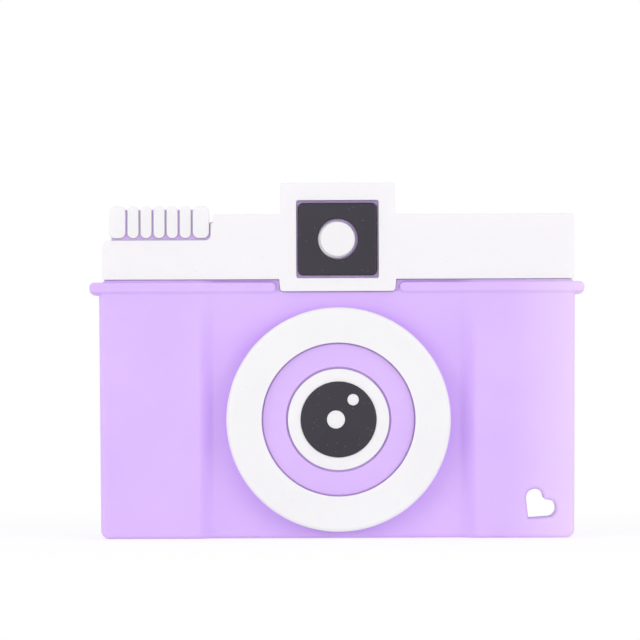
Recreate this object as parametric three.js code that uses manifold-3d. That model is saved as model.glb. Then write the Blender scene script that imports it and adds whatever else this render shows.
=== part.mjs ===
// Camera-shaped silicone teether, standing on its foot with the lens facing -Y.
// Millimetres, +Z up. Depth is counted forward from the flat back, so depth d lies at y = -d
// until the last group moves the middle of the whole thickness to y = 0.
import * as THREE from 'three';
import { mergeVertices } from 'three/addons/utils/BufferGeometryUtils.js';
import Module from 'manifold-3d';

// Lens, from its middle outward
const DISC_RADIUS = 7.95;
const INNER_RING_WALL = 2.55;
const COLLAR_WALL = 4.82;
const OUTER_RING_WALL = 7.43;
const INNER_GROOVE = 0.4;
const OUTER_GROOVE = 0.25;
const LENS_OFFSET = 0.25;
const LENS_FOOT_MARGIN = 1.45;
const LENS_HEAD_MARGIN = 3.08;
const CENTRE_DOT_RADIUS = 1.9;
const CENTRE_DOT_OFFSET = 0.55;
const GLINT_RADIUS = 1.2;
const GLINT_EDGE_MARGIN = 1.6;
const GLINT_ANGLE = THREE.MathUtils.degToRad(53.5);

// Lavender base: middle panel with its sloping head, soft steps, grips, rim bars and foot
const LEFT_VALLEY = 2.6;
const RIGHT_VALLEY = 1.8;
const LEFT_STEP = 3.5;
const RIGHT_STEP = 4.2;
const GRIP_WIDTH = 20.6;
const HEAD_DROP = 4;
const HEAD_SLOPE = 10;
const FOOT_TAPER = 0.3;
const FOOT_CORNER = 1.8;
const RIM_HEIGHT = 2.75;
const RIM_OVERHANG = 2;
const RIM_RISE = 0.5;

// White top plate with the viewfinder block
const PLATE_GROOVE = 0.75;
const PLATE_HEIGHT = 13.65;
const PLATE_INSET = 0.47;
const PLATE_OFFSET = 0.27;
const PLATE_CORNER = 0.4;
const SHOULDER_CORNER = 1.8;
const TAB_DROP = 2.07;
const TAB_FLARE = 0.3;
const TAB_CORNER = 0.9;
const FINDER_OFFSET = 0.17;
const WINDOW_SHIFT = -0.15;
const WINDOW_WIDTH = 17.26;
const WINDOW_HEIGHT = 16.3;
const WINDOW_CORNER = 0.3;
const FRAME_SIDE = 3.4;
const FRAME_TOP = 3.65;
const FRAME_BOTTOM = 3.08;

// Viewfinder panel and its stud
const PANEL_SHIFT = 0.13;
const PANEL_SIDE_GAP = 0.43;
const PANEL_END_GAP = 0.6;
const PANEL_CORNER = 1;
const STUD_RADIUS = 4.05;
const STUD_GAP = 0.25;

// Winder: a row of ribs in a recess of the plate
const RIB_COUNT = 7;
const RIB_WIDTH = 2.37;
const END_RIB_WIDTH = 3.47;
const END_RIB_CORNER = 1.3;
const RIB_HEIGHT = 6.77;
const RIB_GAP = 0.37;
const WINDER_MARGIN = 1.46;
const RECESS_DROP = 5.37;
const RECESS_CORNER = 1.1;
const RIB_FLOOR_GAP = 0.4;
const RIB_WALL_GAP = 0.8;
const PAD_SIDE_INSET = 0.6;
const PAD_TOP_INSET = 0.75;
const PAD_CORNER = 0.8;
const WEB_DROP = 3.45;

// Heart-shaped hole: a square with a half disc on two of its sides
const HEART_SIDE = 4.15;
const HEART_POINT_RADIUS = 0.4;
const HEART_SIDE_MARGIN = 3.75;
const HEART_FOOT_MARGIN = 4.2;

// Depths and thicknesses
const BACKING_DEPTH = 6;
const MIDDLE_DEPTH = 7.8;
const GRIP_RISE = 2.6;
const HEAD_RISE = 1.9;
const PLATE_THICKNESS = 4.8;
const ISLAND_RISE = 2.6;
const PANEL_THICKNESS = 1.9;
const STUD_THICKNESS = 2.4;
const PAD_RISE = 1.6;
const RIB_THICKNESS = 3.1;
const BOSS_RISE = 3.6;
const WELL_RISE = 1.2;
const OUTER_RING_THICKNESS = 1.2;
const COLLAR_RISE = 2.5;
const COLLAR_CROWN = 0.1;
const LENS_GROOVE_DEPTH = 0.7;
const INNER_RING_THICKNESS = 2.6;
const DISC_THICKNESS = 2.7;
const DOT_SEAT = 1.4;
const DOT_PROUD = 0.15;

// Rounded edges and the clearance between bonded neighbours
const BASE_EDGE = 0.8;
const SIDE_EDGE = 1.2;
const RIM_EDGE = 0.8;
const BACKING_INSET = 0.3;
const PLATE_EDGE = 0.5;
const PANEL_EDGE = 0.4;
const RIB_EDGE = 0.6;
const STUD_EDGE = 0.6;
const RING_EDGE = 0.8;
const BORE_EDGE = 0.2;
const DISC_EDGE = 0.4;
const DOT_EDGE = 0.12;
const LEAST_ARC = 0.05;
const SEAM = 0.15;

// Steps along round stretches
const ARC_STEPS = 2;
const HEART_STEPS = 6;
const EDGE_STEPS = 2;
const PROFILE_STEPS = 1;
const TURN_STEPS = 60;
const DOT_TURN_STEPS = 24;
const MERGE_TOLERANCE = 1e-4;

// Lens radii and height
const innerRingBore = DISC_RADIUS + SEAM;
const innerRingRadius = innerRingBore + INNER_RING_WALL;
const collarBore = innerRingRadius + INNER_GROOVE;
const collarRadius = collarBore + COLLAR_WALL;
const outerRingBore = collarRadius + OUTER_GROOVE;
const lensRadius = outerRingBore + OUTER_RING_WALL;
const lensHeight = LENS_FOOT_MARGIN + lensRadius;

// Widths and heights of the base and the plate
const leftStepFoot = LENS_OFFSET - lensRadius - LEFT_VALLEY;
const leftStepHead = leftStepFoot - LEFT_STEP;
const rightStepFoot = LENS_OFFSET + lensRadius + RIGHT_VALLEY;
const rightStepHead = rightStepFoot + RIGHT_STEP;
const bodyHalfWidth = GRIP_WIDTH - leftStepHead;
const tabBottom = lensHeight + lensRadius + LENS_HEAD_MARGIN;
const bodyTop = tabBottom + TAB_DROP;
const rimBottom = bodyTop - RIM_HEIGHT;
const headTop = bodyTop - HEAD_DROP;
const headFoot = headTop - HEAD_SLOPE;
const plateBottom = bodyTop + PLATE_GROOVE;
const plateTop = plateBottom + PLATE_HEIGHT;
const plateHalfWidth = bodyHalfWidth - PLATE_INSET;
const plateLeft = PLATE_OFFSET - plateHalfWidth;
const plateRight = PLATE_OFFSET + plateHalfWidth;
const windowBottom = tabBottom + FRAME_BOTTOM;
const windowTop = windowBottom + WINDOW_HEIGHT;
const windowMiddle = (windowBottom + windowTop) / 2;
const blockTop = windowTop + FRAME_TOP;
const blockHalfWidth = WINDOW_WIDTH / 2 + FRAME_SIDE;
const tabHalfWidth = blockHalfWidth + TAB_FLARE;

// Winder row and its recess
const recessFloor = plateTop - RECESS_DROP;
const ribBottom = recessFloor + RIB_FLOOR_GAP;
const ribTop = ribBottom + RIB_HEIGHT;
const ribRowLeft = plateLeft + WINDER_MARGIN;
const ribRowWidth = 2 * END_RIB_WIDTH + (RIB_COUNT - 2) * RIB_WIDTH + (RIB_COUNT - 1) * RIB_GAP;
const ribRowRight = ribRowLeft + ribRowWidth;
const recessWall = ribRowRight + RIB_WALL_GAP;
const padLeft = ribRowLeft + PAD_SIDE_INSET;
const padRight = ribRowRight - PAD_SIDE_INSET;
const padTop = ribTop - PAD_TOP_INSET;
const webTop = ribTop - WEB_DROP;

// An outer corner is never tighter than the rounding of the edge that runs round it
const plateCorner = Math.max(PLATE_CORNER, PLATE_EDGE + LEAST_ARC);
const tabCorner = Math.max(TAB_CORNER, PLATE_EDGE + LEAST_ARC);
const plateShoulder = Math.max(SHOULDER_CORNER, PLATE_EDGE + LEAST_ARC);
const panelCorner = Math.max(PANEL_CORNER, PANEL_EDGE + LEAST_ARC);
const endRibCorner = Math.max(END_RIB_CORNER, RIB_EDGE + LEAST_ARC);
const ribCorner = RIB_WIDTH / 2 - RIB_EDGE / 4;
const backingCorner = BASE_EDGE + LEAST_ARC;
const padCorner = Math.max(PAD_CORNER, backingCorner);
const backingShoulder = Math.max(SHOULDER_CORNER, backingCorner);

// Depth of each seat and of the frontmost face
const gripDepth = MIDDLE_DEPTH + GRIP_RISE;
const headDepth = MIDDLE_DEPTH + HEAD_RISE;
const islandDepth = BACKING_DEPTH + ISLAND_RISE;
const padDepth = BACKING_DEPTH + PAD_RISE;
const lensSeat = MIDDLE_DEPTH + WELL_RISE;
const outerRingSeat = MIDDLE_DEPTH + BOSS_RISE;
const outerRingFront = outerRingSeat + OUTER_RING_THICKNESS;
const collarFront = lensSeat + COLLAR_RISE;
const grooveFloor = collarFront - LENS_GROOVE_DEPTH;
const innerRingFront = lensSeat + INNER_RING_THICKNESS;
const discFront = lensSeat + DISC_THICKNESS;
const dotSeat = discFront - DOT_SEAT;
const dotFront = discFront + DOT_PROUD;
const wholeDepth = Math.max(
  outerRingFront,
  dotFront,
  innerRingFront,
  collarFront + COLLAR_CROWN,
  gripDepth + RIM_RISE,
  BACKING_DEPTH + PLATE_THICKNESS,
  islandDepth + Math.max(PANEL_THICKNESS, STUD_THICKNESS),
  padDepth + RIB_THICKNESS,
);
const wholeHeight = Math.max(blockTop, ribTop);
const cutFront = 2 * wholeDepth;
const wholeSpan = 4 * (bodyHalfWidth + RIM_OVERHANG + wholeHeight);

const wasm = await Module();
wasm.setup();

// A closed triangle mesh as a solid that can be joined and cut
function solidOf(geometry) {
  geometry.deleteAttribute('normal');
  geometry.deleteAttribute('uv');
  const merged = mergeVertices(geometry, MERGE_TOLERANCE);
  const corners = merged.index.array;
  const kept = [];
  for (let i = 0; i < corners.length; i += 3) {
    const triangle = Array.from(corners.slice(i, i + 3));
    if (new Set(triangle).size === 3) kept.push(...triangle);
  }
  const vertProperties = merged.attributes.position.array;
  const triVerts = new Uint32Array(kept);
  return new wasm.Manifold(new wasm.Mesh({ numProp: 3, vertProperties, triVerts }));
}

function meshOf(name, solid, material) {
  const { vertProperties, triVerts } = solid.getMesh();
  const geometry = new THREE.BufferGeometry();
  geometry.setAttribute('position', new THREE.BufferAttribute(vertProperties, 3));
  geometry.setIndex(new THREE.BufferAttribute(triVerts, 1));
  geometry.computeVertexNormals();
  const mesh = new THREE.Mesh(geometry, material);
  mesh.name = name;
  return mesh;
}

// A closed outline through corners [across, up, radius], anticlockwise; a radius makes an arc
function outline(corners) {
  const shape = new THREE.Shape();
  const points = corners.map(([across, up]) => new THREE.Vector2(across, up));
  corners.forEach(([, , radius], index) => {
    const corner = points[index];
    const back = points.at(index - 1).clone().sub(corner).normalize();
    const ahead = points[(index + 1) % points.length].clone().sub(corner).normalize();
    if (radius > 0) {
      const half = Math.acos(back.dot(ahead)) / 2;
      const start = corner.clone().addScaledVector(back, radius / Math.tan(half));
      const end = corner.clone().addScaledVector(ahead, radius / Math.tan(half));
      const towards = back.clone().add(ahead).normalize();
      const centre = corner.clone().addScaledVector(towards, radius / Math.sin(half));
      const clockwise = back.cross(ahead) > 0;
      const startAngle = start.sub(centre).angle();
      if (index === 0) shape.moveTo(start.x + centre.x, start.y + centre.y);
      shape.absarc(centre.x, centre.y, radius, startAngle, end.sub(centre).angle(), clockwise);
    } else if (index === 0) {
      shape.moveTo(corner.x, corner.y);
    } else {
      shape.lineTo(corner.x, corner.y);
    }
  });
  shape.closePath();
  return shape;
}

function rectangle(left, bottom, right, top, radius) {
  return outline([
    [left, bottom, radius],
    [right, bottom, radius],
    [right, top, radius],
    [left, top, radius],
  ]);
}

// A front-view outline as a solid between two depths, with square edges
function slab(shape, back, front, steps = ARC_STEPS) {
  const options = { depth: front - back, curveSegments: steps, bevelEnabled: false };
  const geometry = new THREE.ExtrudeGeometry(shape, options);
  return solidOf(geometry.rotateX(Math.PI / 2).translate(0, -back, 0));
}

// The same with both ends rounded; the end that stays square is made longer and cut off
function roundedSlab(shape, back, front, edge, squareEnd) {
  const start = squareEnd === 'back' ? back - edge : back;
  const end = squareEnd === 'front' ? front + edge : front;
  const options = {
    depth: end - start - 2 * edge,
    curveSegments: ARC_STEPS,
    bevelThickness: edge,
    bevelSize: edge,
    bevelOffset: -edge,
    bevelSegments: EDGE_STEPS,
  };
  const geometry = new THREE.ExtrudeGeometry(shape, options);
  const rounded = solidOf(geometry.rotateX(Math.PI / 2).translate(0, -start - edge, 0));
  const span = rectangle(-wholeSpan, -wholeSpan, wholeSpan, wholeSpan, 0);
  return rounded.intersect(slab(span, back, front));
}

// An inlay: square where it is bonded to its seat, rounded at the front
function inlay(shape, seat, thickness, edge) {
  return roundedSlab(shape, seat, seat + thickness, Math.min(edge, thickness), 'back');
}

// A profile of corners [radius, depth, rounding] turned about an axis that points forward
function turned(corners, steps) {
  const points = outline(corners).getPoints(PROFILE_STEPS);
  return solidOf(new THREE.LatheGeometry(points, steps).rotateX(Math.PI));
}

function turnedDisc(radius, back, front, edge, steps) {
  return turned([[0, back, 0], [radius, back, 0], [radius, front, edge], [0, front, 0]], steps);
}

function turnedRing(bore, radius, back, front, edge) {
  const corners = [[bore, back, 0], [radius, back, 0], [radius, front, edge], [bore, front, BORE_EDGE]];
  return turned(corners, TURN_STEPS);
}

// The base seen from above: flat back, rounded sides, two grips and the middle panel between them
function planOutline(halfWidth, middleDepth, rise) {
  const middle = -middleDepth - rise;
  const grip = -gripDepth - rise;
  const leftBend = LEFT_STEP / 2;
  const rightBend = RIGHT_STEP / 2;
  const side = halfWidth - SIDE_EDGE;
  const shape = new THREE.Shape();
  shape.moveTo(-side, grip);
  shape.lineTo(leftStepHead, grip);
  shape.bezierCurveTo(leftStepHead + leftBend, grip, leftStepFoot - leftBend, middle, leftStepFoot, middle);
  shape.lineTo(rightStepFoot, middle);
  shape.bezierCurveTo(
    rightStepFoot + rightBend, middle, rightStepHead - rightBend, grip, rightStepHead, grip,
  );
  shape.lineTo(side, grip);
  shape.absarc(side, grip + SIDE_EDGE, SIDE_EDGE, -Math.PI / 2, 0, false);
  shape.lineTo(halfWidth, -SIDE_EDGE);
  shape.absarc(side, -SIDE_EDGE, SIDE_EDGE, 0, Math.PI / 2, false);
  shape.lineTo(-side, 0);
  shape.absarc(-side, -SIDE_EDGE, SIDE_EDGE, Math.PI / 2, Math.PI, false);
  shape.lineTo(-halfWidth, grip + SIDE_EDGE);
  shape.absarc(-side, grip + SIDE_EDGE, SIDE_EDGE, Math.PI, 1.5 * Math.PI, false);
  return shape;
}

// A plan outline drawn up between two heights with rounded ends
function upright(shape, bottom, top, edge) {
  const options = {
    depth: top - bottom - 2 * edge,
    curveSegments: ARC_STEPS,
    bevelThickness: edge,
    bevelSize: edge,
    bevelOffset: -edge,
    bevelSegments: EDGE_STEPS,
  };
  return solidOf(new THREE.ExtrudeGeometry(shape, options).translate(0, 0, bottom + edge));
}

// A side-view profile of corners [depth, height], drawn across between two places
function drawnAcross(corners, left, right) {
  const shape = new THREE.Shape(corners.map(([depth, up]) => new THREE.Vector2(-depth, up)));
  const geometry = new THREE.ExtrudeGeometry(shape, { depth: right - left, bevelEnabled: false });
  const back = new THREE.Vector3(0, 1, 0);
  const up = new THREE.Vector3(0, 0, 1);
  const side = new THREE.Vector3(1, 0, 0);
  const turn = new THREE.Matrix4().makeBasis(back, up, side);
  return solidOf(geometry.applyMatrix4(turn).translate(left, 0, 0));
}

// The plate's outline, with the viewfinder block above and its tab below, grown by a clearance
function plateOutline(grow) {
  const left = plateLeft - grow;
  const right = plateRight + grow;
  const bottom = plateBottom - grow;
  const top = plateTop + grow;
  const block = blockHalfWidth + grow;
  const tab = tabHalfWidth + grow;
  const wall = recessWall - grow;
  const floor = recessFloor + grow;
  return outline([
    [left, bottom, plateCorner],
    [FINDER_OFFSET - tab, bottom, 0],
    [FINDER_OFFSET - block, tabBottom - grow, tabCorner],
    [FINDER_OFFSET + block, tabBottom - grow, tabCorner],
    [FINDER_OFFSET + tab, bottom, 0],
    [right, bottom, plateCorner],
    [right, top, plateCorner],
    [FINDER_OFFSET + block, top, 0],
    [FINDER_OFFSET + block, blockTop + grow, plateCorner],
    [FINDER_OFFSET - block, blockTop + grow, plateCorner],
    [FINDER_OFFSET - block, top, 0],
    [wall, top, plateCorner],
    [wall, floor, RECESS_CORNER],
    [left, floor, plateShoulder],
  ]);
}

// The thin backing behind the plate and the ribs, set in from the plate's edge
function backingOutline() {
  const left = plateLeft + BACKING_INSET;
  const right = plateRight - BACKING_INSET;
  const top = plateTop - BACKING_INSET;
  const block = blockHalfWidth - BACKING_INSET;
  const head = blockTop - BACKING_INSET;
  const shoulder = recessFloor - BACKING_INSET;
  return outline([
    [left, rimBottom, 0],
    [right, rimBottom, 0],
    [right, top, backingCorner],
    [FINDER_OFFSET + block, top, 0],
    [FINDER_OFFSET + block, head, backingCorner],
    [FINDER_OFFSET - block, head, backingCorner],
    [FINDER_OFFSET - block, top, 0],
    [recessWall + BACKING_INSET, top, backingCorner],
    [recessWall + BACKING_INSET, webTop, 0],
    [padRight, webTop, 0],
    [padRight, padTop, padCorner],
    [padLeft, padTop, padCorner],
    [padLeft, shoulder, 0],
    [left, shoulder, backingShoulder],
  ]);
}

// The raised pad under the ribs, clear of the walls of the recess
function padOutline() {
  return outline([
    [padLeft, recessFloor + SEAM, 0],
    [recessWall - SEAM, recessFloor + SEAM, RECESS_CORNER - SEAM],
    [recessWall - SEAM, webTop, 0],
    [padRight, webTop, 0],
    [padRight, padTop, padCorner],
    [padLeft, padTop, padCorner],
  ]);
}

// The viewfinder window, drawn in by a gap at its sides and by another at its ends, and moved across
function windowOutline(sideGap, endGap, corner, shift = 0) {
  const half = WINDOW_WIDTH / 2 - sideGap;
  const centre = FINDER_OFFSET + WINDOW_SHIFT + shift;
  const left = centre - half;
  const right = centre + half;
  return rectangle(left, windowBottom + endGap, right, windowTop - endGap, corner);
}

// The heart lies on its side, point down to the left and notch up to the right
function heartOutline() {
  const lobe = HEART_SIDE / 2;
  const left = bodyHalfWidth - FOOT_TAPER - HEART_SIDE_MARGIN - HEART_SIDE - lobe;
  const bottom = HEART_FOOT_MARGIN;
  const point = HEART_POINT_RADIUS;
  const shape = new THREE.Shape();
  shape.moveTo(left + point, bottom);
  shape.absarc(left + HEART_SIDE, bottom + lobe, lobe, -Math.PI / 2, Math.PI / 2, false);
  shape.absarc(left + lobe, bottom + HEART_SIDE, lobe, 0, Math.PI, false);
  shape.absarc(left + point, bottom + point, point, Math.PI, 1.5 * Math.PI, false);
  return shape;
}

function makeBody() {
  const foot = bodyHalfWidth - FOOT_TAPER;
  const front = outline([
    [-foot, 0, FOOT_CORNER],
    [foot, 0, FOOT_CORNER],
    [bodyHalfWidth, bodyTop, 0],
    [-bodyHalfWidth, bodyTop, 0],
  ]);
  const lower = upright(planOutline(bodyHalfWidth, MIDDLE_DEPTH, 0), 0, bodyTop, BASE_EDGE);
  const head = drawnAcross([
    [MIDDLE_DEPTH, headFoot],
    [BACKING_DEPTH, headFoot],
    [BACKING_DEPTH, bodyTop],
    [headDepth, bodyTop],
    [headDepth, headTop],
  ], leftStepHead, rightStepHead);
  const rimPlan = planOutline(bodyHalfWidth + RIM_OVERHANG, headDepth, RIM_RISE);
  const rim = upright(rimPlan, rimBottom, bodyTop, RIM_EDGE);
  const backing = roundedSlab(backingOutline(), 0, BACKING_DEPTH, BASE_EDGE, 'front');
  const platePocket = slab(plateOutline(SEAM), BACKING_DEPTH, cutFront);
  const pad = slab(padOutline(), BACKING_DEPTH - SEAM, padDepth);
  const island = slab(windowOutline(SEAM, SEAM, WINDOW_CORNER), BACKING_DEPTH - SEAM, islandDepth);
  const lensBoss = turned([
    [0, BACKING_DEPTH, 0],
    [lensRadius, BACKING_DEPTH, 0],
    [lensRadius, outerRingSeat, 0],
    [outerRingBore, outerRingSeat, 0],
    [outerRingBore, grooveFloor, 0],
    [collarRadius, grooveFloor, 0],
    [collarRadius, collarFront, BORE_EDGE],
    [collarBore, collarFront + COLLAR_CROWN, BORE_EDGE],
    [collarBore, lensSeat, 0],
    [0, lensSeat, 0],
  ], TURN_STEPS);
  return lower
    .intersect(slab(front, -cutFront, cutFront))
    .add(head)
    .add(rim)
    .add(backing)
    .subtract(platePocket)
    .add(pad)
    .add(island)
    .add(lensBoss.translate(LENS_OFFSET, 0, lensHeight))
    .subtract(slab(heartOutline(), -cutFront, cutFront, HEART_STEPS));
}

function makeTopPlate() {
  const shape = plateOutline(0);
  shape.holes.push(windowOutline(0, 0, WINDOW_CORNER));
  return inlay(shape, BACKING_DEPTH, PLATE_THICKNESS, PLATE_EDGE);
}

// The panel's round hole opens out at the front
function makeFinderPanel() {
  const shape = windowOutline(PANEL_SIDE_GAP, PANEL_END_GAP, panelCorner, PANEL_SHIFT);
  const bore = STUD_RADIUS + STUD_GAP;
  const front = islandDepth + PANEL_THICKNESS;
  const hole = turned([
    [0, 0, 0],
    [bore, 0, 0],
    [bore, front - PANEL_EDGE, 0],
    [bore + PANEL_EDGE, front, 0],
    [bore + PANEL_EDGE, cutFront, 0],
    [0, cutFront, 0],
  ], DOT_TURN_STEPS);
  return inlay(shape, islandDepth, PANEL_THICKNESS, PANEL_EDGE)
    .subtract(hole.translate(FINDER_OFFSET, 0, windowMiddle));
}

// The disc's two dots are bonded into blind holes
function dotPocket(radius) {
  return turnedDisc(radius + SEAM, dotSeat, cutFront, 0, DOT_TURN_STEPS);
}

function makeDot(radius) {
  return turnedDisc(radius, dotSeat, dotFront, DOT_EDGE, DOT_TURN_STEPS);
}

const glintReach = DISC_RADIUS - GLINT_EDGE_MARGIN - GLINT_RADIUS;
const glintAcross = glintReach * Math.cos(GLINT_ANGLE);
const glintUp = glintReach * Math.sin(GLINT_ANGLE);

function makeDisc() {
  return turnedDisc(DISC_RADIUS, lensSeat, discFront, DISC_EDGE, TURN_STEPS)
    .subtract(dotPocket(CENTRE_DOT_RADIUS).translate(-CENTRE_DOT_OFFSET, 0, 0))
    .subtract(dotPocket(GLINT_RADIUS).translate(glintAcross, 0, glintUp));
}

function silicone(color, roughness) {
  return new THREE.MeshStandardMaterial({ color, roughness, metalness: 0 });
}

const lavender = () => silicone(0xdfbff8, 0.55);
const white = () => silicone(0xf6f3f7, 0.5);
const charcoal = () => silicone(0x4a4750, 0.45);

const teether = new THREE.Group();
teether.position.y = wholeDepth / 2;
teether.add(meshOf('body', makeBody(), lavender()));
teether.add(meshOf('top_plate', makeTopPlate(), white()));

// Viewfinder
const studFront = islandDepth + STUD_THICKNESS;
const studDisc = turnedDisc(STUD_RADIUS, islandDepth, studFront, STUD_EDGE, DOT_TURN_STEPS);
const stud = meshOf('viewfinder_dot', studDisc, white());
stud.position.set(FINDER_OFFSET, 0, windowMiddle);
teether.add(meshOf('viewfinder_panel', makeFinderPanel(), charcoal()), stud);

// Winder ribs, left to right: a wide rib at each end and narrow ones with full round ends between
let ribLeft = ribRowLeft;
for (let number = 1; number <= RIB_COUNT; number += 1) {
  const atEnd = number === 1 || number === RIB_COUNT;
  const width = atEnd ? END_RIB_WIDTH : RIB_WIDTH;
  const corner = atEnd ? endRibCorner : ribCorner;
  const shape = rectangle(ribLeft, ribBottom, ribLeft + width, ribTop, corner);
  const rib = inlay(shape, padDepth, RIB_THICKNESS, RIB_EDGE);
  teether.add(meshOf(`winder_rib_${number}`, rib, white()));
  ribLeft += width + RIB_GAP;
}

// Lens, placed as one group over the collar's axis
const lens = new THREE.Group();
lens.position.set(LENS_OFFSET, 0, lensHeight);
const outerRing = turnedRing(outerRingBore, lensRadius, outerRingSeat, outerRingFront, RING_EDGE);
const innerRing = turnedRing(innerRingBore, innerRingRadius, lensSeat, innerRingFront, DISC_EDGE);
const centreDot = meshOf('lens_centre_dot', makeDot(CENTRE_DOT_RADIUS), white());
centreDot.position.x = -CENTRE_DOT_OFFSET;
const glintDot = meshOf('lens_glint_dot', makeDot(GLINT_RADIUS), white());
glintDot.position.set(glintAcross, 0, glintUp);
lens.add(meshOf('lens_outer_ring', outerRing, white()));
lens.add(meshOf('lens_inner_ring', innerRing, white()));
lens.add(meshOf('lens_disc', makeDisc(), charcoal()), centreDot, glintDot);
teether.add(lens);

export default teether;
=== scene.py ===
import math
from collections import namedtuple

import bpy
import numpy as np
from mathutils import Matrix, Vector


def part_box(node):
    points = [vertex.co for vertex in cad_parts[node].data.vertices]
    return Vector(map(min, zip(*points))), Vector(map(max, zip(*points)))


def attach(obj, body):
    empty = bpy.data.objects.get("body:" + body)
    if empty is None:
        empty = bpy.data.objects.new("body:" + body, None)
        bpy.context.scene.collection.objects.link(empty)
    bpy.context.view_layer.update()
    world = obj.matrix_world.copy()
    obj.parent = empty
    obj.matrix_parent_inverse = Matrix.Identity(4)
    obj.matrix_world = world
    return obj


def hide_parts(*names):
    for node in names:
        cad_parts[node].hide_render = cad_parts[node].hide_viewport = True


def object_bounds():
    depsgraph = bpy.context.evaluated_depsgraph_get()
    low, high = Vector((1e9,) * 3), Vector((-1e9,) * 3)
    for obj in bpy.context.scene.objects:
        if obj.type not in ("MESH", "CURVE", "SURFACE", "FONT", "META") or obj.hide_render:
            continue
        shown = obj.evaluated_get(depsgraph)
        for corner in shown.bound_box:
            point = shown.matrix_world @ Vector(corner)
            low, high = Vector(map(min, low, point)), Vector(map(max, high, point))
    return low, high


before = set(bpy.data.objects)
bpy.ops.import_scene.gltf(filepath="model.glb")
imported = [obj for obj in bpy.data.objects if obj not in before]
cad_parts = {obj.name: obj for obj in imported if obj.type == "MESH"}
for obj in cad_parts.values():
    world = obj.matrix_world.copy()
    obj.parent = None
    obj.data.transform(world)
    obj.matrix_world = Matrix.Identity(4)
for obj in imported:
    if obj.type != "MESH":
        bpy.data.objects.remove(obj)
CAD_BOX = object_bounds()

# Shapes are worked out in millimetres: x across, d forward from the flat back, z up.
MM = 0.001
BACK = CAD_BOX[1].y / MM

# Lavender base
RIM_OVERHANG = 2.0
RIM_HEIGHT = 2.2
RIM_LIFT = 0.2
RIM_RISE = 0.5
RIM_EDGE = 0.5
RIM_COVE = 0.35
RIM_TAB_GAP = 0.65
RIM_END_DROP = 0.55
RIM_END_ROUND = 1.3
RIM_END_BACK = 0.6
FOOT_TAPER = 0.3
FOOT_CORNER = 1.8
LEFT_VALLEY = 2.6
RIGHT_VALLEY = 1.8
LEFT_STEP = 3.5
RIGHT_STEP = 4.2
MIDDLE_DEPTH = 7.8
HEAD_RISE = 1.9
HEAD_HEIGHT = 37.0
HEAD_EASE = 15.0
GRIP_DEPTH = 10.4
BASE_EDGE = 1.0
BACK_EDGE = 0.8
BACKING_DEPTH = 6.0
BACKING_INSET = 0.3
BACKING_LAP = 1.0
RIM_LAP = 1.0
GROOVE_DROP = 0.2
SEAM = 0.04

# Heart-shaped hole: its point, and the two lobes that reach away from it
HEART_SIDE_MARGIN = 9.77
HEART_FOOT_MARGIN = 4.27
HEART_TILT = math.radians(50)
HEART_LENGTH = 3.93
HEART_SPREAD = 1.75
HEART_LOBE = 1.84
HEART_TIP = 0.21
HEART_NOTCH = 0.85

# White top plate and the window in its block
TAB_DROP = 2.07
TAB_FLARE = 0.3
TAB_CORNER = 0.9
PLATE_GROOVE = 0.75
PLATE_HEIGHT = 13.65
PLATE_CORNER = 0.55
PLATE_EDGE = 0.14
SHOULDER_CORNER = 1.8
RECESS_CORNER = 1.1
WINDOW_WIDTH = 17.26
FRAME_SIDE = 3.4
FRAME_TOP = 3.65
FRAME_BOTTOM = 3.08
WINDOW_CORNER = 0.4
ISLAND_DEPTH = 8.6

# Ribs of the winder and the lavender pad that shows between them
RIBS = 7
RIB_EDGE = 0.28
RIB_CORNER_PLAY = 0.07
END_RIB_CORNER = 1.3
RIB_FLOOR_GAP = 0.4
RIB_WALL_GAP = 0.8
PAD_DEPTH = 7.6
PAD_FRONT = 10.1
PAD_LEFT_INSET = 0.45
PAD_SIDE_INSET = 0.6
PAD_TOP_INSET = 0.75
PAD_CORNER = 0.85
WEB_DROP = 3.45
WEB_NARROWING = 0.52
WEB_EASE = 0.4

# Viewfinder panel, the lavender that frames it, and its stud
PANEL_CORNER = 1.0
PANEL_EDGE = 0.3
FINDER_FRONT = 9.5
STUD_GAP = 0.25
STUD_SEAT = 9.6
FLANGE_RADIUS = 3.97
FLANGE_SHIFT = 0.2
FLANGE_DROP = 0.1
FLANGE_FRONT = 10.15
FLANGE_EDGE = 0.4
BUTTON_RADIUS = 3.65
BUTTON_EDGE = 0.3
BUTTON_COVE = 0.15

# Lens
OUTER_GROOVE = 0.25
INNER_GROOVE = 0.4
COLLAR_OUTER_DEPTH = 11.5
COLLAR_INNER_DEPTH = 11.6
COLLAR_EDGE = 0.15
OUTER_LIP_DROP = 0.3
INNER_LIP_DROP = 0.7
LIP_COVE = 0.06
OUTER_RING_WALL = 7.43
OUTER_RING_EDGE = 0.9
BOSS_INSET = 0.05
BORE_EDGE = 0.12
RING_FIT = 0.02
DISC_EDGE = 0.3
DOT_EDGE = 0.12

# Mesh grids, and the share of their faces that is kept
BODY_STEP = 0.3
PLATE_STEP = 0.17
SMALL_STEP = 0.14
LENS_STEP = 0.11
FINE_STEP = 0.08
FACES_KEPT = 0.3
BODY_FACES_KEPT = 0.25
GRID_MARGIN = 0.45
SETTLE_ROUNDS = 3
SLOPE_STEP = 0.005
LEAST_SLOPE = 0.25

# Photograph's view
PIXEL = 0.2103 * MM
IMAGE_WIDTH = 640
VIEW_CENTRE = Vector((-3.575, -2.0, 45.88)) * MM
VIEW_DISTANCE = 1.2
VIEW_ROLL = math.radians(0.2)
SENSOR_WIDTH = 36.0

# Light
AMBIENT = 0.8
FLOOR_HALF = 6.0
FLOOR_ALBEDO = 0.5
FLOOR_TOOTH = 1.02
FLOOR_LIGHT = 0.4
FLOOR_GLOW = 0.56
FLOOR_TOOTH_SCALE = 900.0
KEY_SLANT = (-0.9, 0.15)
KEY_STRENGTH = 0.75
KEY_SPREAD = math.radians(40)

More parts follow.
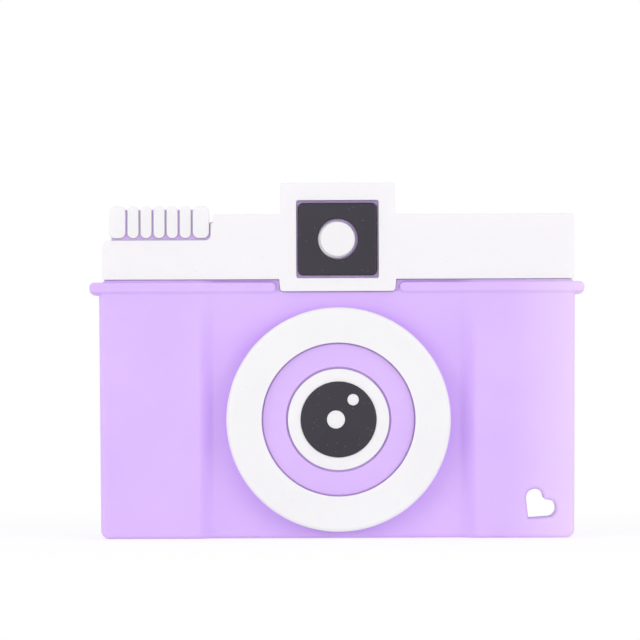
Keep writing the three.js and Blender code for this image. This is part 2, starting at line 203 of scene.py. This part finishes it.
# Skin of the silicone: clouding, dust, hairs, grain, ripples and depth of colour
CLOUD_SCALE = 70.0
CLOUD_START = 0.3
CLOUD_END = 0.7
DUST_SCALE = 420.0
DUST_RADIUS = 0.045
FINE_DUST_SCALE = 900.0
FINE_DUST_RADIUS = 0.1
MOTE_CORE = 0.6
HAIR_SCALE = 400.0
HAIR_RADIUS = 0.03
HAIR_SLANT = math.radians(35)
HAIR_STRETCH = 0.12
GRAIN_SCALE = 3200.0
GRAIN_DETAIL = 3.0
GRAIN_START = 0.25
GRAIN_END = 0.75
GRAIN_STRENGTH = 0.3
GRAIN_HEIGHT = 0.02 * MM
GLOSS_SPREAD = 0.06
RIPPLE_SCALE = 160.0
RIPPLE_DETAIL = 1.0
RIPPLE_STRENGTH = 0.35
RIPPLE_HEIGHT = 0.25 * MM
SCATTER_DEPTH = 2.5 * MM
SCATTER_RADIUS = (1.0, 0.8, 1.0)
SPECULAR = 0.4
SHEEN = 0.08
SHEEN_ROUGHNESS = 0.5

Span = namedtuple("Span", "left right back front bottom top")
# Painted light and shade: a tint that comes in along one axis, from start to end, up to its share.
Grade = namedtuple("Grade", "axis start end share tint")
Skin = namedtuple("Skin", "shade light mote mote_share gloss scatter hairs grade")

LAVENDER = Skin(
    shade=(0.705, 0.493, 0.97),
    light=(0.74, 0.518, 0.99),
    mote=(0.95, 0.9, 0.95),
    mote_share=0.35,
    gloss=0.48,
    scatter=0.25,
    hairs=0.0,
    # Painted light: the lavender turns paler over the last 18 mm towards the right edge, as if the grip were
    # lit from that side.
    grade=Grade("X", 0.034, 0.052, 0.42, (0.95, 0.8, 0.99)),
)
WHITE = Skin(
    shade=(0.915, 0.893, 0.925),
    light=(0.94, 0.918, 0.95),
    mote=(0.45, 0.42, 0.43),
    mote_share=0.5,
    gloss=0.5,
    scatter=0.3,
    hairs=0.0,
    # Painted shade: the white darkens from about 46 mm up, fully above 54 mm, on the top plate, its ribs and
    # the stud, against the stronger light up there.
    grade=Grade("Z", 0.046, 0.054, 0.85, (0.9, 0.877, 0.91)),
)
CHARCOAL = Skin(
    shade=(0.026, 0.0225, 0.033),
    light=(0.032, 0.028, 0.04),
    mote=(0.32, 0.31, 0.34),
    mote_share=0.6,
    gloss=0.5,
    scatter=0.0,
    hairs=0.4,
    grade=None,
)


def span(node):
    """A node's extent in millimetres."""
    low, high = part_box(node)
    return Span(low.x / MM, high.x / MM, BACK - high.y / MM, BACK - low.y / MM, low.z / MM, high.z / MM)


def middle(extent):
    """The middle of an extent, seen from the front."""
    return (extent.left + extent.right) / 2, (extent.bottom + extent.top) / 2


def radius_of(extent):
    return (extent.right - extent.left) / 2


# Places that several pieces share, read from the frame
base = span("body")
plate = span("top_plate")
panel = span("viewfinder_panel")
stud = span("viewfinder_dot")
ribs = [span(f"winder_rib_{number}") for number in range(1, RIBS + 1)]
outer_ring = span("lens_outer_ring")
inner_ring = span("lens_inner_ring")
disc = span("lens_disc")

body_half = base.right - RIM_OVERHANG
body_top = plate.bottom + TAB_DROP
rim_top = body_top + RIM_LIFT
rim_bottom = rim_top - RIM_HEIGHT
plate_bottom = body_top + PLATE_GROOVE
plate_top = plate_bottom + PLATE_HEIGHT
backing_left = plate.left + BACKING_INSET
backing_right = plate.right - BACKING_INSET
window_x = middle(panel)[0]
stud_x, stud_z = middle(stud)
stud_hole = radius_of(stud) + STUD_GAP
window_bottom = plate.bottom + FRAME_BOTTOM
window_top = plate.top - FRAME_TOP
block_half = WINDOW_WIDTH / 2 + FRAME_SIDE
tab_half = block_half + TAB_FLARE
recess_floor = ribs[0].bottom - RIB_FLOOR_GAP
recess_wall = ribs[-1].right + RIB_WALL_GAP
pad_left = ribs[0].left + PAD_LEFT_INSET
pad_right = ribs[-1].right - PAD_SIDE_INSET
pad_top = ribs[0].top - PAD_TOP_INSET
web_top = ribs[0].top - WEB_DROP
lens_x, lens_z = middle(outer_ring)
lens_radius = radius_of(outer_ring)
outer_bore = lens_radius - OUTER_RING_WALL
collar_radius = outer_bore - OUTER_GROOVE
collar_bore = radius_of(inner_ring) + INNER_GROOVE
collar_wall = collar_radius - collar_bore
collar_middle = (collar_radius + collar_bore) / 2
left_step_foot = lens_x - lens_radius - LEFT_VALLEY
right_step_foot = lens_x + lens_radius + RIGHT_VALLEY


# Fields: negative inside a shape, zero on its surface, in millimetres

def rectangle(x, z, left, right, bottom, top, corner):
    """A rectangle with round corners."""
    across = np.abs(x - (left + right) / 2) - (right - left) / 2 + corner
    up = np.abs(z - (bottom + top) / 2) - (top - bottom) / 2 + corner
    return np.hypot(np.maximum(across, 0), np.maximum(up, 0)) + np.minimum(np.maximum(across, up), 0) - corner


def circle(x, z, centre, radius):
    return np.hypot(x - centre[0], z - centre[1]) - radius


def drawn_out(x, z, start, start_radius, end, end_radius):
    """Two discs and all that lies between their outer tangents."""
    run, climb = end[0] - start[0], end[1] - start[1]
    length = math.hypot(run, climb)
    along = ((x - start[0]) * run + (z - start[1]) * climb) / length
    across = np.abs((x - start[0]) * climb - (z - start[1]) * run) / length
    lean = (start_radius - end_radius) / length
    flank = math.sqrt(1 - lean * lean)
    place = flank * along - lean * across
    side = flank * across + lean * along - start_radius
    near = np.where(place < 0, np.hypot(across, along) - start_radius, side)
    return np.where(place > flank * length, np.hypot(across, along - length) - end_radius, near)


def both(a, b, edge=0.0):
    """What two shapes share, with the edge between them rounded."""
    return np.minimum(np.maximum(a, b), -edge) + np.hypot(np.maximum(a + edge, 0), np.maximum(b + edge, 0))


def either(a, b, cove=0.0):
    """Two shapes together, with the inner corner between them filled by a cove."""
    return np.maximum(np.minimum(a, b), cove) - np.hypot(np.maximum(cove - a, 0), np.maximum(cove - b, 0))


def soft_step(t):
    t = np.clip(t, 0, 1)
    return t * t * (3 - 2 * t)


def inlay(outline, d, extent, edge):
    """A moulded inlay: a flat seat behind and a rounded front edge."""
    return np.maximum(both(outline, d - extent.front, edge), extent.back - d)


# Outlines seen from the front

def heart(x, z):
    """The heart lies on its side: two lobes drawn out to one point, with a blunt notch between them."""
    point = (body_half - HEART_SIDE_MARGIN, HEART_FOOT_MARGIN)
    along = np.array([math.cos(HEART_TILT), math.sin(HEART_TILT)])
    aside = np.array([-along[1], along[0]])
    lobes = [point + HEART_LENGTH * along + way * HEART_SPREAD * aside for way in (-1, 1)]
    shape = either(*(circle(x, z, lobe, HEART_LOBE) for lobe in lobes), HEART_NOTCH)
    for lobe in lobes:
        shape = np.minimum(shape, drawn_out(x, z, point, HEART_TIP, lobe, HEART_LOBE))
    return shape


def window(x, z):
    half = WINDOW_WIDTH / 2
    return rectangle(x, z, window_x - half, window_x + half, window_bottom, window_top, WINDOW_CORNER)


def panel_outline(x, z):
    return rectangle(x, z, panel.left, panel.right, panel.bottom, panel.top, PANEL_CORNER)


def rib_outline(rib, x, z):
    """A rib with round ends; the two end ribs are wider and squarer."""
    corner = min(radius_of(rib) - RIB_CORNER_PLAY, END_RIB_CORNER)
    return rectangle(x, z, rib.left, rib.right, rib.bottom, rib.top, corner)


def wall_at(z):
    """The side wall of the winder's recess, which comes nearer to the last rib beside the web."""
    return recess_wall - WEB_NARROWING * soft_step((web_top - z) / WEB_EASE)


def plate_outline(x, z):
    """The white plate with its shoulder, recess, viewfinder block and tab, without the window."""
    shoulder = both(plate.left - x, z - recess_floor, SHOULDER_CORNER)
    cover = both(wall_at(z) - x, z - plate_top, PLATE_CORNER)
    outline = either(shoulder, cover, RECESS_CORNER)
    outline = both(outline, x - plate.right, PLATE_CORNER)
    outline = both(outline, plate_bottom - z, PLATE_CORNER)
    block = rectangle(x, z, stud_x - block_half, stud_x + block_half, plate_bottom, plate.top, PLATE_CORNER)
    taper = TAB_FLARE * np.clip((plate_bottom - z) / (plate_bottom - plate.bottom), 0, 1)
    tab = rectangle(x, z, stud_x - tab_half, stud_x + tab_half, plate.bottom, plate_top, TAB_CORNER) + taper
    return np.minimum(outline, np.minimum(block, tab))


def pad_outline(x, z, bottom):
    """The lavender pad under the ribs, with the web that ties it to the wall of the recess."""
    pad = rectangle(x, z, pad_left, pad_right, bottom, pad_top, PAD_CORNER)
    web = rectangle(x, z, pad_left, wall_at(z) - SEAM, bottom, web_top, 0.0)
    return np.minimum(pad, web)


def backing_outline(x, z):
    """The lavender backing behind the plate and the ribs."""
    behind = plate_outline(x, z) + BACKING_INSET
    pad = pad_outline(x, z, rim_bottom)
    tie = rectangle(x, z, pad_left, recess_wall + BACKING_LAP, rim_bottom, web_top, 0.0)
    low = rectangle(x, z, backing_left, backing_right, rim_bottom, plate_bottom + BACKING_LAP, 0.0)
    return np.minimum(np.minimum(behind, low), np.minimum(pad, tie))


def lens_reach(x, z):
    return np.hypot(x - lens_x, z - lens_z)


# Shapes of the pieces

def body_field(x, d, z):
    side = body_half - FOOT_TAPER * (1 - np.clip(z / body_top, 0, 1))
    grips = soft_step((left_step_foot - x) / LEFT_STEP) + soft_step((x - right_step_foot) / RIGHT_STEP)
    low = MIDDLE_DEPTH + HEAD_RISE * soft_step((z - HEAD_HEIGHT) / HEAD_EASE)
    front = low + (GRIP_DEPTH - low) * grips
    outline = rectangle(x, z, -side, side, 0, body_top + FOOT_CORNER, FOOT_CORNER)
    outline = np.maximum(np.maximum(outline, z - body_top + RIM_LAP), -heart(x, z))
    lower = both(outline, d - front, BASE_EDGE)
    tip = RIM_HEIGHT / 2 - SEAM
    reach = tab_half + RIM_TAB_GAP
    left_bar = rectangle(x, z, -base.right, stud_x - reach, rim_bottom, rim_top, tip)
    right_bar = rectangle(x, z, stud_x + reach, base.right, rim_bottom, rim_top, tip)
    rim = both(np.minimum(left_bar, right_bar), d - front - RIM_RISE, RIM_EDGE)
    solid = either(lower, rim, RIM_COVE)
    drop = rectangle(x, z, -base.right, base.right, rim_bottom - RIM_END_DROP, rim_top, RIM_END_ROUND)
    overhang = both(drop, d - GRIP_DEPTH + RIM_END_BACK, RIM_EDGE)
    solid = np.minimum(solid, both(overhang, body_half - BASE_EDGE - np.abs(x)))
    groove = rectangle(x, z, backing_left, backing_right, rim_bottom, plate_bottom, 0.0)
    solid = np.minimum(solid, np.maximum(groove, d - front + GROOVE_DROP))
    pocket = np.maximum(plate_outline(x, z) - SEAM, BACKING_DEPTH - d)
    solid = np.maximum(solid, -pocket)
    solid = np.minimum(solid, np.maximum(backing_outline(x, z), d - BACKING_DEPTH))
    solid = np.minimum(solid, np.maximum(pad_outline(x, z, recess_floor + SEAM), d - PAD_DEPTH))
    solid = np.minimum(solid, np.maximum(window(x, z) + SEAM, d - ISLAND_DEPTH))
    wall = lens_reach(x, z) - lens_radius + BOSS_INSET
    well = np.maximum(wall, d - inner_ring.back)
    boss = np.maximum(np.maximum(wall, outer_bore - lens_reach(x, z)), d - outer_ring.back)
    return both(np.minimum(solid, np.minimum(well, boss)), -d, BACK_EDGE)


def collar_field(x, d, z):
    """The lavender collar between the two rings, with a low lip along each of them."""
    reach = lens_reach(x, z)
    inward = (collar_radius - reach) / collar_wall
    crown = COLLAR_OUTER_DEPTH + (COLLAR_INNER_DEPTH - COLLAR_OUTER_DEPTH) * inward
    ridge = np.abs(reach - collar_middle) - collar_wall / 2
    ridge = both(ridge, d - crown, COLLAR_EDGE)
    lips = np.maximum(reach - outer_bore, radius_of(inner_ring) - reach) + SEAM
    drop = np.where(reach > collar_middle, OUTER_LIP_DROP, INNER_LIP_DROP)
    lips = np.maximum(lips, d - crown + drop)
    return np.maximum(either(ridge, lips, LIP_COVE), inner_ring.back - d)


def winder_bed_field(x, d, z):
    """The pad's lavender between the ribs."""
    solid = np.maximum(pad_outline(x, z, recess_floor + SEAM), d - PAD_FRONT)
    for rib in ribs:
        solid = np.maximum(solid, SEAM - rib_outline(rib, x, z))
    return np.maximum(solid, PAD_DEPTH - d)


def finder_bed_field(x, d, z):
    """The lavender that frames the dark panel, and the seat under the stud."""
    edging = np.maximum(window(x, z), -panel_outline(x, z)) + SEAM
    edging = np.maximum(edging, d - FINDER_FRONT)
    seat = np.maximum(circle(x, z, (stud_x, stud_z), stud_hole - SEAM), d - STUD_SEAT)
    return np.maximum(np.minimum(edging, seat), ISLAND_DEPTH - d)


def plate_field(x, d, z):
    return inlay(np.maximum(plate_outline(x, z), -window(x, z)), d, plate, PLATE_EDGE)


def panel_field(x, d, z):
    hole = circle(x, z, (stud_x, stud_z), stud_hole)
    return inlay(np.maximum(panel_outline(x, z), -hole), d, panel, PANEL_EDGE)


def stud_field(x, d, z):
    """The stud: a low flange that lies a little to the left in its hole, and a button with a flat face."""
    centre = (stud_x - FLANGE_SHIFT, stud_z - FLANGE_DROP)
    flange = both(circle(x, z, centre, FLANGE_RADIUS), d - FLANGE_FRONT, FLANGE_EDGE)
    button = both(circle(x, z, (stud_x, stud_z), BUTTON_RADIUS), d - stud.front, BUTTON_EDGE)
    return np.maximum(either(flange, button, BUTTON_COVE), STUD_SEAT - d)


def rib_field(rib):
    def field(x, d, z):
        return inlay(rib_outline(rib, x, z), d, rib, RIB_EDGE)
    return field


def round_field(node, edge, bore=0.0):
    """A round inlay, or a ring where a bore is given."""
    extent = span(node)

    def field(x, d, z):
        outline = circle(x, z, middle(extent), radius_of(extent))
        solid = inlay(outline, d, extent, edge)
        if bore:
            solid = np.maximum(solid, both(bore - radius_of(extent) - outline, d - extent.front, BORE_EDGE))
        return solid
    return field


def disc_field(x, d, z):
    """The dark disc with a pocket for each of its two dots."""
    solid = round_field("lens_disc", DISC_EDGE)(x, d, z)
    for node in ("lens_centre_dot", "lens_glint_dot"):
        dot = span(node)
        pocket = np.maximum(circle(x, z, middle(dot), radius_of(dot) + SEAM), dot.back - SEAM - d)
        solid = np.maximum(solid, -pocket)
    return solid


# Meshes

def slope(field, points):
    """The field's gradient at each point."""
    rise = np.empty_like(points)
    for axis in range(3):
        shift = np.zeros(3)
        shift[axis] = SLOPE_STEP
        rise[:, axis] = (field(*(points + shift).T) - field(*(points - shift).T)) / (2 * SLOPE_STEP)
    return rise


def net(field, extent, step):
    """Points and faces of a field's surface: one point in each grid cell that it crosses, settled onto it."""
    low = np.array([extent.left, extent.back, extent.bottom]) - GRID_MARGIN
    high = np.array([extent.right, extent.front, extent.top]) + GRID_MARGIN + step
    axes = [np.arange(a, b, step) for a, b in zip(low, high)]
    values = field(*np.meshgrid(*axes, indexing="ij"))
    inside = values < 0
    cells = np.array(values.shape) - 1
    faces, crossings = [], []
    for axis in range(3):
        count = values.shape[axis]
        changed = np.take(inside, range(count - 1), axis) != np.take(inside, range(1, count), axis)
        start = np.argwhere(changed)
        end = start.copy()
        end[:, axis] += 1
        here, there = values[tuple(start.T)], values[tuple(end.T)]
        crossing = start.astype(float)
        crossing[:, axis] += here / (here - there)
        ring = []
        for first, second in ((-1, -1), (0, -1), (0, 0), (-1, 0)):
            cell = start.copy()
            cell[:, (axis + 1) % 3] += first
            cell[:, (axis + 2) % 3] += second
            ring.append(np.ravel_multi_index(cell.T, cells))
        ring = np.stack(ring, 1)
        leaving = here < 0
        ring[leaving] = ring[leaving, ::-1]
        faces.append(ring)
        crossings.append(np.repeat(crossing[:, None, :], 4, 1))
    faces, crossings = np.concatenate(faces), np.concatenate(crossings)
    corners = np.unique(faces, return_inverse=True)[1].reshape(faces.shape)
    shares = np.bincount(corners.ravel())
    sums = [np.bincount(corners.ravel(), crossings[..., axis].ravel()) for axis in range(3)]
    points = low + step * np.stack(sums, 1) / shares[:, None]
    for _ in range(SETTLE_ROUNDS):
        rise = slope(field, points)
        move = field(*points.T) / np.maximum((rise ** 2).sum(1), LEAST_SLOPE)
        points -= np.clip(move, -step / 2, step / 2)[:, None] * rise
    return points, corners


def flip_depth(points):
    """Between depth forward from the back and the frame's own y."""
    return np.stack([points[:, 0], BACK - points[:, 1], points[:, 2]], 1)


def surface(name, node, material, field, extent, step, kept=FACES_KEPT):
    """A finished surface, meshed from its field, that stands for a node or for a part of one."""
    points, faces = net(field, extent, step)
    rough = bpy.data.meshes.new(name + "_net")
    rough.from_pydata(flip_depth(points) * MM, [], faces)
    made = bpy.data.objects.new(name + "_surface", rough)
    bpy.context.scene.collection.objects.link(made)
    made.modifiers.new("thin", "DECIMATE").ratio = kept
    thinned = made.evaluated_get(bpy.context.evaluated_depsgraph_get())
    made.data = bpy.data.meshes.new_from_object(thinned)
    made.data.name = name + "_surface"
    made.modifiers.clear()
    bpy.data.meshes.remove(rough)
    place = np.empty(len(made.data.vertices) * 3)
    made.data.vertices.foreach_get("co", place)
    normals = slope(field, flip_depth(place.reshape(-1, 3) / MM))
    normals[:, 1] *= -1
    normals /= np.linalg.norm(normals, axis=1)[:, None]
    made.data.polygons.foreach_set("use_smooth", np.ones(len(made.data.polygons), bool))
    made.data.normals_split_custom_set_from_vertices(normals)
    made.data.materials.append(material)
    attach(made, "root")
    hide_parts(node)


def piece(node, material, field, step):
    surface(node, node, material, field, span(node), step)


def add_body(lavender):
    """The base, and its three finer stretches: the collar, the winder's bed and the viewfinder's."""
    surface("body", "body", lavender, body_field, base, BODY_STEP, BODY_FACES_KEPT)
    collar = Span(lens_x - outer_bore, lens_x + outer_bore, inner_ring.back, COLLAR_INNER_DEPTH,
                  lens_z - outer_bore, lens_z + outer_bore)
    surface("lens_collar", "body", lavender, collar_field, collar, LENS_STEP)
    bed = Span(pad_left, recess_wall, PAD_DEPTH, PAD_FRONT, recess_floor, pad_top)
    surface("winder_bed", "body", lavender, winder_bed_field, bed, FINE_STEP)
    half = WINDOW_WIDTH / 2
    bed = Span(window_x - half, window_x + half, ISLAND_DEPTH, FINDER_FRONT, window_bottom, window_top)
    surface("finder_bed", "body", lavender, finder_bed_field, bed, FINE_STEP)


def add_inlays(white, charcoal):
    piece("top_plate", white, plate_field, PLATE_STEP)
    for number, rib in enumerate(ribs, 1):
        piece(f"winder_rib_{number}", white, rib_field(rib), SMALL_STEP)
    piece("viewfinder_panel", charcoal, panel_field, SMALL_STEP)
    piece("viewfinder_dot", white, stud_field, FINE_STEP)
    ring = round_field("lens_outer_ring", OUTER_RING_EDGE, outer_bore)
    piece("lens_outer_ring", white, ring, LENS_STEP)
    ring = round_field("lens_inner_ring", BORE_EDGE, radius_of(disc) + RING_FIT)
    piece("lens_inner_ring", white, ring, LENS_STEP)
    piece("lens_disc", charcoal, disc_field, SMALL_STEP)
    for node in ("lens_centre_dot", "lens_glint_dot"):
        piece(node, white, round_field(node, DOT_EDGE), FINE_STEP)


# Materials

def node_of(tree, kind, **settings):
    made = tree.nodes.new("ShaderNode" + kind)
    for name, value in settings.items():
        if hasattr(made, name):
            setattr(made, name, value)
        else:
            made.inputs[name.replace("_", " ").title()].default_value = value
    return made


def noise(tree, place, scale, detail=2.0):
    made = node_of(tree, "TexNoise", Scale=scale, Detail=detail)
    tree.links.new(place, made.inputs["Vector"])
    return made.outputs["Fac"]


def ramp(tree, value, start, end, low=0.0, high=1.0, kind="LINEAR"):
    """A value carried from one range to another, and held at its ends."""
    made = node_of(tree, "MapRange", interpolation_type=kind)
    tree.links.new(value, made.inputs["Value"])
    made.inputs["From Min"].default_value = start
    made.inputs["From Max"].default_value = end
    made.inputs["To Min"].default_value = low
    made.inputs["To Max"].default_value = high
    return made.outputs["Result"]


def tinted(tree, factor, under, over):
    """A colour over another, by a factor; the one below may be a colour or a socket."""
    made = node_of(tree, "Mix", data_type="RGBA")
    tree.links.new(factor, made.inputs["Factor"])
    if isinstance(under, tuple):
        made.inputs["A"].default_value = (*under, 1)
    else:
        tree.links.new(under, made.inputs["A"])
    made.inputs["B"].default_value = (*over, 1)
    return made.outputs["Result"]


def specks(tree, place, scale, radius):
    """Sparse round motes: where the surface passes close to a scattered point."""
    made = node_of(tree, "TexVoronoi", Scale=scale)
    tree.links.new(place, made.inputs["Vector"])
    return ramp(tree, made.outputs["Distance"], radius, radius * MOTE_CORE)


def scratches(tree, place, scale, radius):
    """Short straight hairs: motes drawn out along a slanted line."""
    drawn = node_of(tree, "Mapping")
    tree.links.new(place, drawn.inputs["Vector"])
    drawn.inputs["Rotation"].default_value = (0, HAIR_SLANT, 0)
    drawn.inputs["Scale"].default_value = (1, 1, HAIR_STRETCH)
    return specks(tree, drawn.outputs["Vector"], scale, radius)


def bumped(tree, height, strength, distance, under=None):
    made = node_of(tree, "Bump", Strength=strength, Distance=distance)
    tree.links.new(height, made.inputs["Height"])
    if under:
        tree.links.new(under, made.inputs["Normal"])
    return made.outputs["Normal"]


def paint_light_grade(tree, place, colour, grade):
    """Painted light and shade: a second tint that comes in slowly along one axis."""
    parts = node_of(tree, "SeparateXYZ")
    tree.links.new(place, parts.inputs["Vector"])
    reach = ramp(tree, parts.outputs[grade.axis], grade.start, grade.end, 0.0, grade.share, "SMOOTHSTEP")
    return tinted(tree, reach, colour, grade.tint)


def silicone(name, look):
    """Moulded silicone: a satin skin with faint clouding, a fine grain, slow ripples and some dust, and where
    the look has one, painted light and shade that comes in along one axis.
    """
    material = bpy.data.materials.new(name)
    material.use_nodes = True
    tree = material.node_tree
    skin = tree.nodes["Principled BSDF"]
    place = node_of(tree, "TexCoord").outputs["Object"]
    cloud = ramp(tree, noise(tree, place, CLOUD_SCALE), CLOUD_START, CLOUD_END)
    colour = tinted(tree, cloud, look.shade, look.light)
    # Painted light and shade along one axis, where the look has it.
    if look.grade:
        colour = paint_light_grade(tree, place, colour, look.grade)
    dust = specks(tree, place, DUST_SCALE, DUST_RADIUS)
    colour = tinted(tree, ramp(tree, dust, 0, 1, 0, look.mote_share), colour, look.mote)
    if look.hairs:
        dust = specks(tree, place, FINE_DUST_SCALE, FINE_DUST_RADIUS)
        colour = tinted(tree, ramp(tree, dust, 0, 1, 0, look.hairs), colour, look.mote)
        hair = scratches(tree, place, HAIR_SCALE, HAIR_RADIUS)
        colour = tinted(tree, ramp(tree, hair, 0, 1, 0, look.hairs), colour, look.mote)
    grain = noise(tree, place, GRAIN_SCALE, GRAIN_DETAIL)
    ripple = noise(tree, place, RIPPLE_SCALE, RIPPLE_DETAIL)
    rough = ramp(tree, grain, GRAIN_START, GRAIN_END, look.gloss - GLOSS_SPREAD, look.gloss + GLOSS_SPREAD)
    slow = bumped(tree, ripple, RIPPLE_STRENGTH, RIPPLE_HEIGHT)
    fine = bumped(tree, grain, GRAIN_STRENGTH, GRAIN_HEIGHT, slow)
    tree.links.new(colour, skin.inputs["Base Color"])
    tree.links.new(rough, skin.inputs["Roughness"])
    tree.links.new(fine, skin.inputs["Normal"])
    skin.inputs["Subsurface Weight"].default_value = look.scatter
    skin.inputs["Subsurface Scale"].default_value = SCATTER_DEPTH
    skin.inputs["Subsurface Radius"].default_value = SCATTER_RADIUS
    skin.inputs["Specular IOR Level"].default_value = SPECULAR
    skin.inputs["Sheen Weight"].default_value = SHEEN
    skin.inputs["Sheen Roughness"].default_value = SHEEN_ROUGHNESS
    return material


# Stage

def floor_material():
    """Pale paper that keeps a shadow and otherwise reads as white to the lens and in reflections."""
    material = bpy.data.materials.new("studio_floor")
    material.use_nodes = True
    tree = material.node_tree
    paper = tree.nodes["Principled BSDF"]
    place = node_of(tree, "TexCoord").outputs["Object"]
    tooth = noise(tree, place, FLOOR_TOOTH_SCALE)
    pale = (FLOOR_ALBEDO,) * 3
    colour = tinted(tree, tooth, pale, tuple(c * FLOOR_TOOTH for c in pale))
    tree.links.new(colour, paper.inputs["Base Color"])
    paper.inputs["Roughness"].default_value = 1.0
    paper.inputs["Specular IOR Level"].default_value = 0.0
    paper.inputs["Emission Color"].default_value = (1, 1, 1, 1)
    glow = ramp(tree, seen(tree), 0, 1, FLOOR_LIGHT, FLOOR_GLOW)
    tree.links.new(glow, paper.inputs["Emission Strength"])
    return material


def seen(tree):
    """One for rays from the lens, from a gloss or through something clear, and nothing for the rest."""
    rays = node_of(tree, "LightPath").outputs
    total = rays["Is Camera Ray"]
    for name in ("Is Glossy Ray", "Is Transmission Ray"):
        made = node_of(tree, "Math", operation="MAXIMUM")
        tree.links.new(total, made.inputs[0])
        tree.links.new(rays[name], made.inputs[1])
        total = made.outputs["Value"]
    return total


def add_floor():
    mesh = bpy.data.meshes.new("studio_floor")
    half = FLOOR_HALF
    corners = [(-half, -half, 0), (half, -half, 0), (half, half, 0), (-half, half, 0)]
    mesh.from_pydata(corners, [], [(0, 1, 2, 3)])
    mesh.materials.append(floor_material())
    floor = bpy.data.objects.new("studio_floor", mesh)
    bpy.context.scene.collection.objects.link(floor)


def add_world():
    world = bpy.data.worlds.new("studio")
    world.use_nodes = True
    tree = world.node_tree
    sky = tree.nodes["Background"]
    sky.inputs["Color"].default_value = (1, 1, 1, 1)
    tree.links.new(ramp(tree, seen(tree), 0, 1, AMBIENT, 1.0), sky.inputs["Strength"])
    bpy.context.scene.world = world


def add_sun(name, towards):
    """A far, wide soft light, given by the direction that it comes from."""
    light = bpy.data.lights.new(name, "SUN")
    light.energy = KEY_STRENGTH
    light.angle = KEY_SPREAD
    lamp = bpy.data.objects.new(name, light)
    lamp.location = Vector(towards)
    lamp.rotation_mode = "QUATERNION"
    lamp.rotation_quaternion = (-Vector(towards)).to_track_quat("-Z", "Y")
    bpy.context.scene.collection.objects.link(lamp)


def add_camera():
    """The photograph's view: straight on from far away."""
    lens = bpy.data.cameras.new("photo_view")
    lens.sensor_width = SENSOR_WIDTH
    lens.lens = SENSOR_WIDTH * VIEW_DISTANCE / (IMAGE_WIDTH * PIXEL)
    camera = bpy.data.objects.new("photo_view", lens)
    camera.location = VIEW_CENTRE - Vector((0, VIEW_DISTANCE, 0))
    camera.rotation_euler = (math.pi / 2, VIEW_ROLL, 0)
    bpy.context.scene.collection.objects.link(camera)
    bpy.context.scene.camera = camera


def main():
    add_body(silicone("lavender", LAVENDER))
    add_inlays(silicone("white", WHITE), silicone("charcoal", CHARCOAL))
    add_floor()
    add_world()
    add_sun("left_key", (-1.0, *KEY_SLANT))
    add_sun("right_key", (1.0, *KEY_SLANT))
    add_camera()
    bpy.context.scene.view_settings.view_transform = "Standard"


main()
